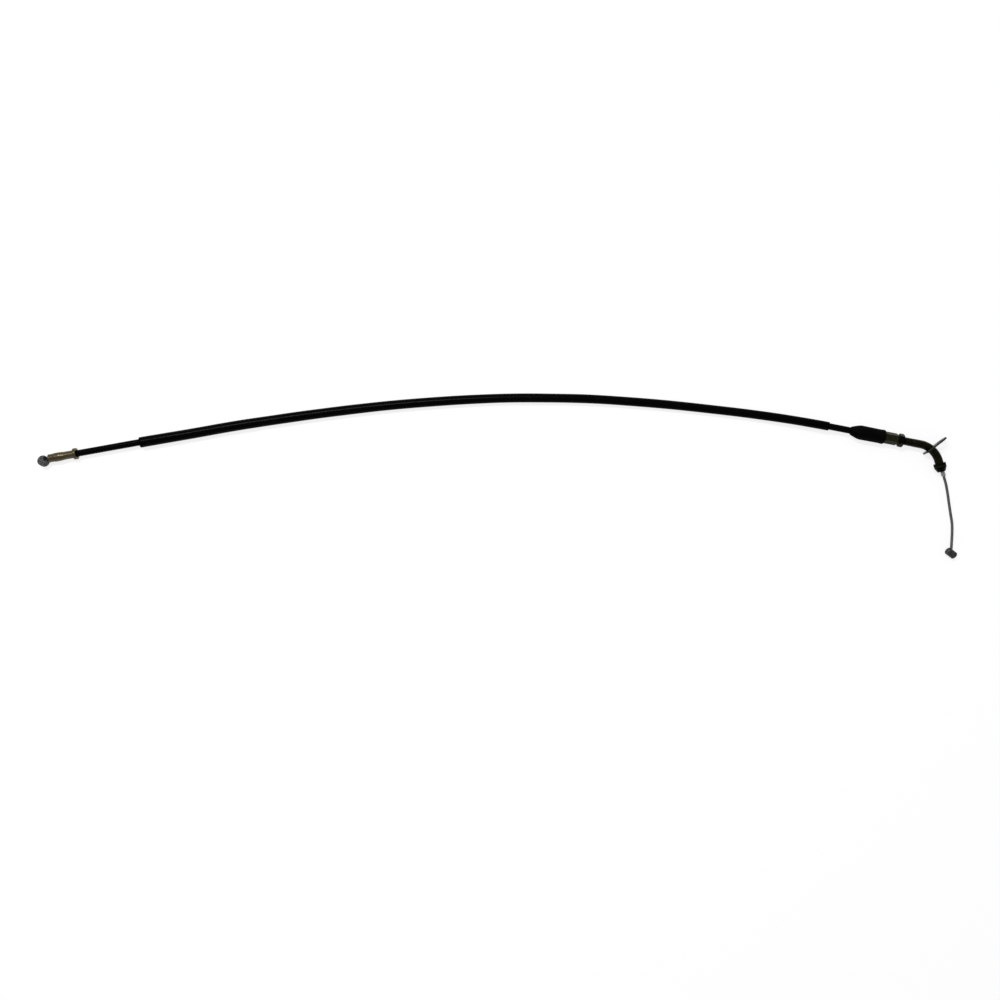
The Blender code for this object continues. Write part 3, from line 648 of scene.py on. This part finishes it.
elbow_start = elbow.lengths[1]
tube_start = elbow_start - (cable.length - TUBE_AT)
plain_start = elbow_start - PLAIN_FROM
collar_at = elbow.length - COLLAR_LENGTH
tube_end = collar_at + TUBE_IN_COLLAR
bore = TUBE_RADIUS - TUBE_WALL
cut = np.arange(tube_start, plain_start, 0.1)
plain = [(TUBE_RADIUS, plain_start), (TUBE_RADIUS, tube_end), (bore, tube_end), (bore, tube_start)]
rows = np.vstack([np.stack([np.full(len(cut), TUBE_RADIUS), cut], -1), dense(plain, 0.8, False)])
tube = carried("bent_tube", elbow, rows, 72, thread)
dressed(tube, "elbow", tube_steel, "elbow_tube")

# %% [markdown]
# ## Collar on the mouth
#
# A short hexagon that narrows to a lip. It is the greenest piece. A paler band is painted on
# the edge where the head ends, a painted highlight of the chamfer. Its colour changes along its
# axis, so the finish reads millimetres along from the UV map.

# %% Collar
green = Finish("green_olive_steel")
_, along = green.surface()
tint = green.noise(1.5, 4.0).between(0.35, 0.7)
head = green.mix(tint, (0.0050, 0.0060, 0.0018), (0.0030, 0.0038, 0.0010))
cone = green.mix(tint, (0.0034, 0.0034, 0.0028), (0.0018, 0.0018, 0.0014))
# A paler band from 1.5 to 2.8 mm along: a painted highlight where the head's chamfer begins
painted_edge_highlight = along.between(1.5, 1.9) - along.between(2.3, 2.8)
plating = green.mix(along.between(2.2, 3.2), head, cone)
green_steel = green.done(
    Base_Color=green.mix(painted_edge_highlight, plating, (0.0150, 0.0165, 0.0130)),
    Metallic=1.0,
    Roughness=0.42 + 0.14 * tint,
    Normal=green.bump(green.noise(0.3, 3.0), 0.25, 0.04),
)
profile = [
    (3.25, 0.0), (4.7, 0.0), (5.02, 0.35), (5.02, 1.9), (2.95, 6.1), (2.65, 6.4), (2.45, 6.4),
    (2.45, 3.4), (3.25, 3.4),
]
collar_line = straight(elbow.at(collar_at)[0], out)
collar = carried(
    "collar", collar_line, dense(rounded(profile, 0.22, 4), 0.25), 120,
    cut_from_bar(8.7, math.radians(68), 40, 3.3),
)
dressed(collar, "elbow", green_steel, "mouth_collar")

# %% [markdown]
# ## Liner's tip
#
# The nylon liner stands out of the mouth, and part of the light passes through it. It is greyed
# by oil from the wire.

# %% Nylon liner
nylon = Finish("natural_nylon")
oil = nylon.noise(1.2, 3.0).between(0.4, 0.75)
natural_nylon = nylon.done(
    Base_Color=nylon.mix(oil, (0.55, 0.55, 0.53), (0.36, 0.36, 0.34)),
    Roughness=0.10 + 0.1 * oil,
    Normal=nylon.bump(nylon.noise(0.4), 0.1, 0.04),
    Transmission_Weight=0.75,
    IOR=1.12,
)
profile = tube_profile(LINER_RADIUS, LINER_BORE, END_GAP, liner_end)
liner = carried("liner_tube", core, dense(rounded(profile, 0.1), 1.0), 48)
dressed(liner, "elbow", natural_nylon, "elbow_liner")

# %% [markdown]
# ## Wire of twelve strands
#
# The inner wire is laid up from thin wires, twelve of them outside. Seen across, its outline is
# twelve arcs. That outline turns once for each lay length, so the strands wind round as in rope.


# %% Stranded wire
def strands(count=12, lay=17.0):
    """Outline of count circles of radius q that touch each other inside radius R, with
    q = (R - q)·sin(180°/count). At angle p from a circle's middle the radius is
    (R - q)·cos p + sqrt(q² - (R - q)²·sin² p)."""
    k = math.sin(math.pi / count)
    q = k / (1 + k)

    def shape(radii, stations, angles):
        wedge = 2 * math.pi / count
        p = (angles - 2 * math.pi * stations / lay + wedge / 2) % wedge - wedge / 2
        far = (1 - q) * np.sin(p)
        return radii * ((1 - q) * np.cos(p) + np.sqrt(np.maximum(q * q - far * far, 0)))

    return shape


steel = Finish("drawn_steel")
tarnish = steel.noise(2.5, 4.0).between(0.4, 0.75)
drawn_steel = steel.done(
    Base_Color=steel.mix(tarnish, (0.140, 0.138, 0.132), (0.080, 0.078, 0.074)),
    Metallic=1.0,
    Roughness=0.34 + 0.15 * tarnish,
    Normal=steel.bump(steel.noise(0.15, 2.0), 0.2, 0.02),
)


def wire(name, line, start, end, step=0.6):
    """A stranded wire between two lengths of a line, its end faces eased by a tenth."""
    edge = [(0.35, start), (0.9, start), (1.0, start + 0.1)]
    run = [(1.0, s) for s in np.arange(start + step, end - step / 2, step)]
    rows = [*edge, *run, (1.0, end - 0.1), (0.9, end), (0.35, end)]
    rows = [(r * WIRE_RADIUS, s) for r, s in rows]
    return carried(name, line, rows, 72, strands(), closed=False)


bare = wire("bare_wire", core, wire_start, core.length)
dressed(bare, "elbow", drawn_steel, "throttle_wire")
CARB_NIPPLE_RADIUS, CARB_WIRE_LENGTH = 3.95, 60.0
wire_tip = -(CARB_NIPPLE_RADIUS + END_GAP)
carb = wire("carb_end_wire", ferrule_line, wire_tip, wire_tip + CARB_WIRE_LENGTH)
dressed(carb, "carb_end", drawn_steel, "carb_wire")

# %% [markdown]
# ## The wire runs into the elbow
#
# When the throttle is pulled, the bare wire disappears into the mouth. A mesh can't slide round
# a bend here. The wire's start at the liner, the nipple and the distance between them are found
# here, and the wire gets a mesh of its own.

# %% The wire's ends and a mesh of its own
anchor, nipple_at = core.at(wire_start)[0], core.points[-1]
span = np.linalg.norm(anchor - nipple_at)
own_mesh(bare)

# %% [markdown]
# ## Cast nipples
#
# Both ends of the wire are cast in zinc: a low drum at the carburettor and a barrel across the
# wire at the throttle. Castings are dull, faintly pitted and darker where they have been handled.
# On the carburettor's nipple, within about two millimetres of one point on its side towards the
# ferrule, a dark patch is painted shade of the gap between nipple and ferrule.

# %% Cast zinc
CARB_NIPPLE_OFFSET, CARB_NIPPLE_HEIGHT = 1.2, 4.4
side = np.cross(left, UP)
carb_centre = cable.points[0] + left * wire_tip + side * CARB_NIPPLE_OFFSET
# The point on the nipple's side towards the ferrule where painted shade of the gap is centred
painted_shade_at = carb_centre + left * 2.5 - side * 1.6 + UP * 2.2

zinc = Finish("cast_zinc")
mottle = zinc.noise(1.3, 4.0).between(0.35, 0.7)
pits = zinc.noise(0.3, 3.0)
inputs = {0: zinc.place(), 1: tuple(painted_shade_at * MM)}
away = zinc.node("ShaderNodeVectorMath", {"operation": "DISTANCE"}, inputs)["Value"] / MM
# 0 near that point, where painted shade darkens the zinc, and 1 further away
outside_painted_shade = (away + mottle * 0.4).between(1.6, 2.4)
metal = zinc.mix(mottle, (0.060, 0.060, 0.059), (0.022, 0.022, 0.022))
cast_zinc = zinc.done(
    Base_Color=zinc.mix(outside_painted_shade, (0.004, 0.004, 0.005), metal),
    Metallic=0.9,
    Roughness=0.5 + 0.15 * mottle,
    Normal=zinc.bump(pits, 0.5, 0.06),
)


# %% The two nipples
def drum(name, centre, axis, radius, length, edge=0.35, back=50.0):
    """A solid barrel, its ends dished by a tenth of a millimetre as cast zinc shrinks. Its line
    starts well back from its centre."""
    top = length / 2
    dish = [(radius * 0.15, top - 0.12), (radius * 0.6, top - 0.06)]
    half = [*dish, (radius - edge, top), (radius, top - edge)]
    profile = [*half, *[(r, -s) for r, s in half[::-1]]]
    line = straight(np.asarray(centre) - unit(axis) * back, axis)
    rows = dense(rounded(profile, 0.15, 4, False), 0.6, False) + [0.0, back]
    return carried(name, line, rows, 96, closed=False)


THROTTLE_NIPPLE_RADIUS, THROTTLE_NIPPLE_LENGTH = 2.8, 7.2
roll = math.radians(-14.0)
carb_axis = UP * math.cos(roll) + side * math.sin(roll)
carb_nipple = drum("carb_end_nipple", carb_centre, carb_axis, CARB_NIPPLE_RADIUS, CARB_NIPPLE_HEIGHT)
dressed(carb_nipple, "carb_end", cast_zinc, "carb_nipple")
heading, tilt = math.radians(-36.0), math.radians(-8.0)
level = np.array([math.cos(heading), math.sin(heading), 0.0])
throttle_axis = level * math.cos(tilt) + UP * math.sin(tilt)
throttle_nipple = drum(
    "throttle_end_nipple", nipple_at, throttle_axis, THROTTLE_NIPPLE_RADIUS, THROTTLE_NIPPLE_LENGTH,
)
dressed(throttle_nipple, "throttle_end", cast_zinc, "throttle_nipple")

# %% [markdown]
# ## Retainer plate
#
# A stamped plate, round at its screw hole and square at the tube. Its outline and holes are three
# closed lines in one plane. A flat curve fills between them and leaves the holes open, and its
# extrusion and bevel give the plate its thickness and soft edges. It is made a mesh before it is
# placed.


# %% Plate
def rim(x, radius, count=48, sweep=(0.0, 360.0), y=0.0):
    """Points on a circle about (x, y): (x + r·cos a, y + r·sin a)."""
    a = np.radians(np.linspace(*sweep, count, endpoint=sweep[1] - sweep[0] < 360))
    return np.stack([x + radius * np.cos(a), y + radius * np.sin(a)], -1)


PITCH, HALF, CORNER, THICKNESS, EDGE, SCREW_HOLE = 8.8, 5.4, 1.5, 1.3, 0.2, 2.6
PLATE_AT, PLATE_LEAN, PLATE_TIP = 27.8, 13.9, 7.0
lean = math.radians(math.hypot(PLATE_LEAN, PLATE_TIP))
tube_hole = TUBE_RADIUS / math.cos(lean) + THICKNESS / 2 * math.tan(lean) + FIT_GAP
inset = HALF - CORNER
outline = np.vstack([
    rim(PITCH, HALF - EDGE, 24, (-90, 90)),
    rim(-inset, CORNER - EDGE, 8, (90, 180), inset),
    rim(-inset, CORNER - EDGE, 8, (180, 270), -inset),
])
flat = bpy.data.curves.new("plate_outline", "CURVE")
flat.dimensions, flat.fill_mode = "2D", "BOTH"
flat.extrude, flat.bevel_depth, flat.bevel_resolution = (THICKNESS / 2 - EDGE) * MM, EDGE * MM, 3
for loop in (outline, rim(0.0, tube_hole + EDGE), rim(PITCH, SCREW_HOLE + EDGE)):
    spline = flat.splines.new("POLY")
    spline.points.add(len(loop) - 1)
    weighted = np.column_stack([loop * MM, np.zeros(len(loop)), np.ones(len(loop))])
    spline.points.foreach_set("co", weighted.ravel())
    spline.use_cyclic_u = True
holder = placed("plate_outline", flat)
bpy.context.view_layer.update()
filled = holder.evaluated_get(bpy.context.evaluated_depsgraph_get())
plate_mesh = bpy.data.meshes.new_from_object(filled)
bpy.data.objects.remove(holder)
print("plate:", len(plate_mesh.polygons), "faces")


# %% Plate in its place
def turned_right(v, degrees):
    """v turned clockwise about the vertical: (x·cos + y·sin, y·cos - x·sin)."""
    c, s = math.cos(math.radians(degrees)), math.sin(math.radians(degrees))
    return np.array([v[0] * c + v[1] * s, v[1] * c - v[0] * s, v[2]])


normal = turned_right(right, PLATE_AT + PLATE_LEAN)
reach = np.cross(UP, normal)
depth = np.cross(reach, UP)
tip = math.radians(-PLATE_TIP)
plate_up = UP * math.cos(tip) + depth * math.sin(tip)
plate_depth = depth * math.cos(tip) - UP * math.sin(tip)
plate_at = elbow.at(elbow_start + BEND_RADIUS * math.radians(PLATE_AT))[0]
co = np.zeros(len(plate_mesh.vertices) * 3, np.float32)
plate_mesh.vertices.foreach_get("co", co)
co = co.reshape(-1, 3).astype(float)
co = co[:, :1] * reach + co[:, 1:2] * plate_up + co[:, 2:] * plate_depth + plate_at * MM
plate_mesh.vertices.foreach_set("co", co.astype(np.float32).ravel())
plate_mesh.materials.clear()
plate_mesh.name = "plate"
plate_mesh.shade_smooth()
plate_mesh.set_sharp_from_angle(angle=math.radians(30))
plate = placed("plate", plate_mesh)

sheet = Finish("plated_sheet_steel")
tint = sheet.noise(2.0, 4.0).between(0.35, 0.7)
brush = sheet.noise(0.3, 3.0, 0.6, (6, 1, 1))
sheet_steel = sheet.done(
    Base_Color=sheet.mix(tint, (0.034, 0.036, 0.033), (0.014, 0.015, 0.014)),
    Metallic=1.0,
    Roughness=0.34 + 0.15 * tint,
    Normal=sheet.bump(brush, 0.25, 0.03),
)
dressed(plate, "retainer", sheet_steel, "retainer_plate")

# %% [markdown]
# ## What hides inside
#
# Armour, liner, end cap and the wire in the conduit never show, except where a piece is pulled
# out or taken apart. Their CAD shapes stay, and they get the same finishes as their neighbours.

# %% Finishes for the pieces inside
inside = {
    "conduit_armour": drawn_steel, "conduit_liner": natural_nylon, "inner_wire": drawn_steel,
    "elbow_wire": drawn_steel, "conduit_end_cap": drawn_steel,
}
for name, finish in inside.items():
    nodes[name].data.materials.clear()
    nodes[name].data.materials.append(finish)
print("CAD nodes kept:", sorted(inside))

# %% [markdown]
# ## The cords
#
# Two free cords: the conduit from the adjuster to the ferrule, with its sleeve on it, and the
# bare wire from the elbow's mouth to its nipple. Both show nearly from end to end, so their
# lengths come from the photograph.

# %% Points and lengths along the cords
s = np.linspace(conduit_end, conduit_at, 160)
cable.at(conduit_end)[0] * MM
(conduit_end - conduit_at) * MM
cable.at(s) * MM
s = np.linspace(wire_start, core.length, 60)
core.at(s) * MM
print("cords in mm:", round(conduit_end - conduit_at, 1), round(core.length - wire_start, 1))

# %% [markdown]
# ## Floor, room and light
#
# The photograph's ground is plain white with hardly a shadow. The floor is white paper that gets
# just enough light to reach white, and for the camera and for reflections it is partly a white
# panel, which thins the shadow without a brighter lamp. The room is dim above and white at its
# horizon. A strip lamp behind and to the left draws the narrow highlight along the cable, which
# fades towards the right, and a broad dim lamp fills in.

# %% Floor
FLOOR_HALF, PANEL_SHARE = 6.0, 0.8
floor_mesh = bpy.data.meshes.new("floor")
corners = np.array([[-1, -1, 0], [1, -1, 0], [1, 1, 0], [-1, 1, 0]], float) * FLOOR_HALF
floor_mesh.from_pydata(corners.tolist(), [], [(0, 1, 2, 3)])
floor = placed("floor", floor_mesh)
ground = Finish("white_floor")
ground.done(Base_Color=(1.0, 1.0, 1.0), Roughness=0.9, Specular_IOR_Level=0.0)
path = ground.node("ShaderNodeLightPath")
seen = path["Is Camera Ray"] + path["Is Glossy Ray"] + path["Is Transmission Ray"]
panel = ground.node("ShaderNodeEmission", None, {"Color": (1.0, 1.0, 1.0), "Strength": 1.0})["Emission"]
paper = Value(ground, ground.shader.outputs["BSDF"])
both = ground.node("ShaderNodeMixShader", None, {0: seen * PANEL_SHARE, 1: paper, 2: panel})["Shader"]
ground.fill(ground.tree.nodes["Material Output"], {"Surface": both})
floor.data.materials.append(ground.material)

# %% Room and lamps
world = bpy.data.worlds.new("room")
world.use_nodes = True
scene.world = world
room = Finish("room", world.node_tree)
direction = room.node("ShaderNodeTexCoord")["Generated"]
height = room.node("ShaderNodeSeparateXYZ", None, {0: direction})["Z"]
shade = room.mix(height.between(0.15, 0.45), (1.0, 1.0, 1.0), (0.5, 0.5, 0.5))
room.fill(world.node_tree.nodes["Background"], {"Color": shade, "Strength": 1.0})

sun = bpy.data.lights.new("broad_lamp", "SUN")
sun.energy, sun.angle = 0.25, math.radians(80)
placed("broad_lamp", sun).rotation_euler = (math.radians(-25), 0.0, 0.0)

strip = bpy.data.lights.new("strip_lamp", "AREA")
strip.shape, strip.size, strip.size_y, strip.energy = "RECTANGLE", 0.83, 0.09, 15.0
strip_lamp = placed("strip_lamp", strip)
strip_lamp.location = (-0.435, 0.63, 1.26)
strip_lamp.rotation_euler = (math.radians(-27), 0.0, 0.0)
print("floor and two lamps placed")

# %% [markdown]
# ## Finishing
#
# The view transform is Standard, so that a colour renders as written.

# %% The view transform
scene.view_settings.view_transform = "Standard"
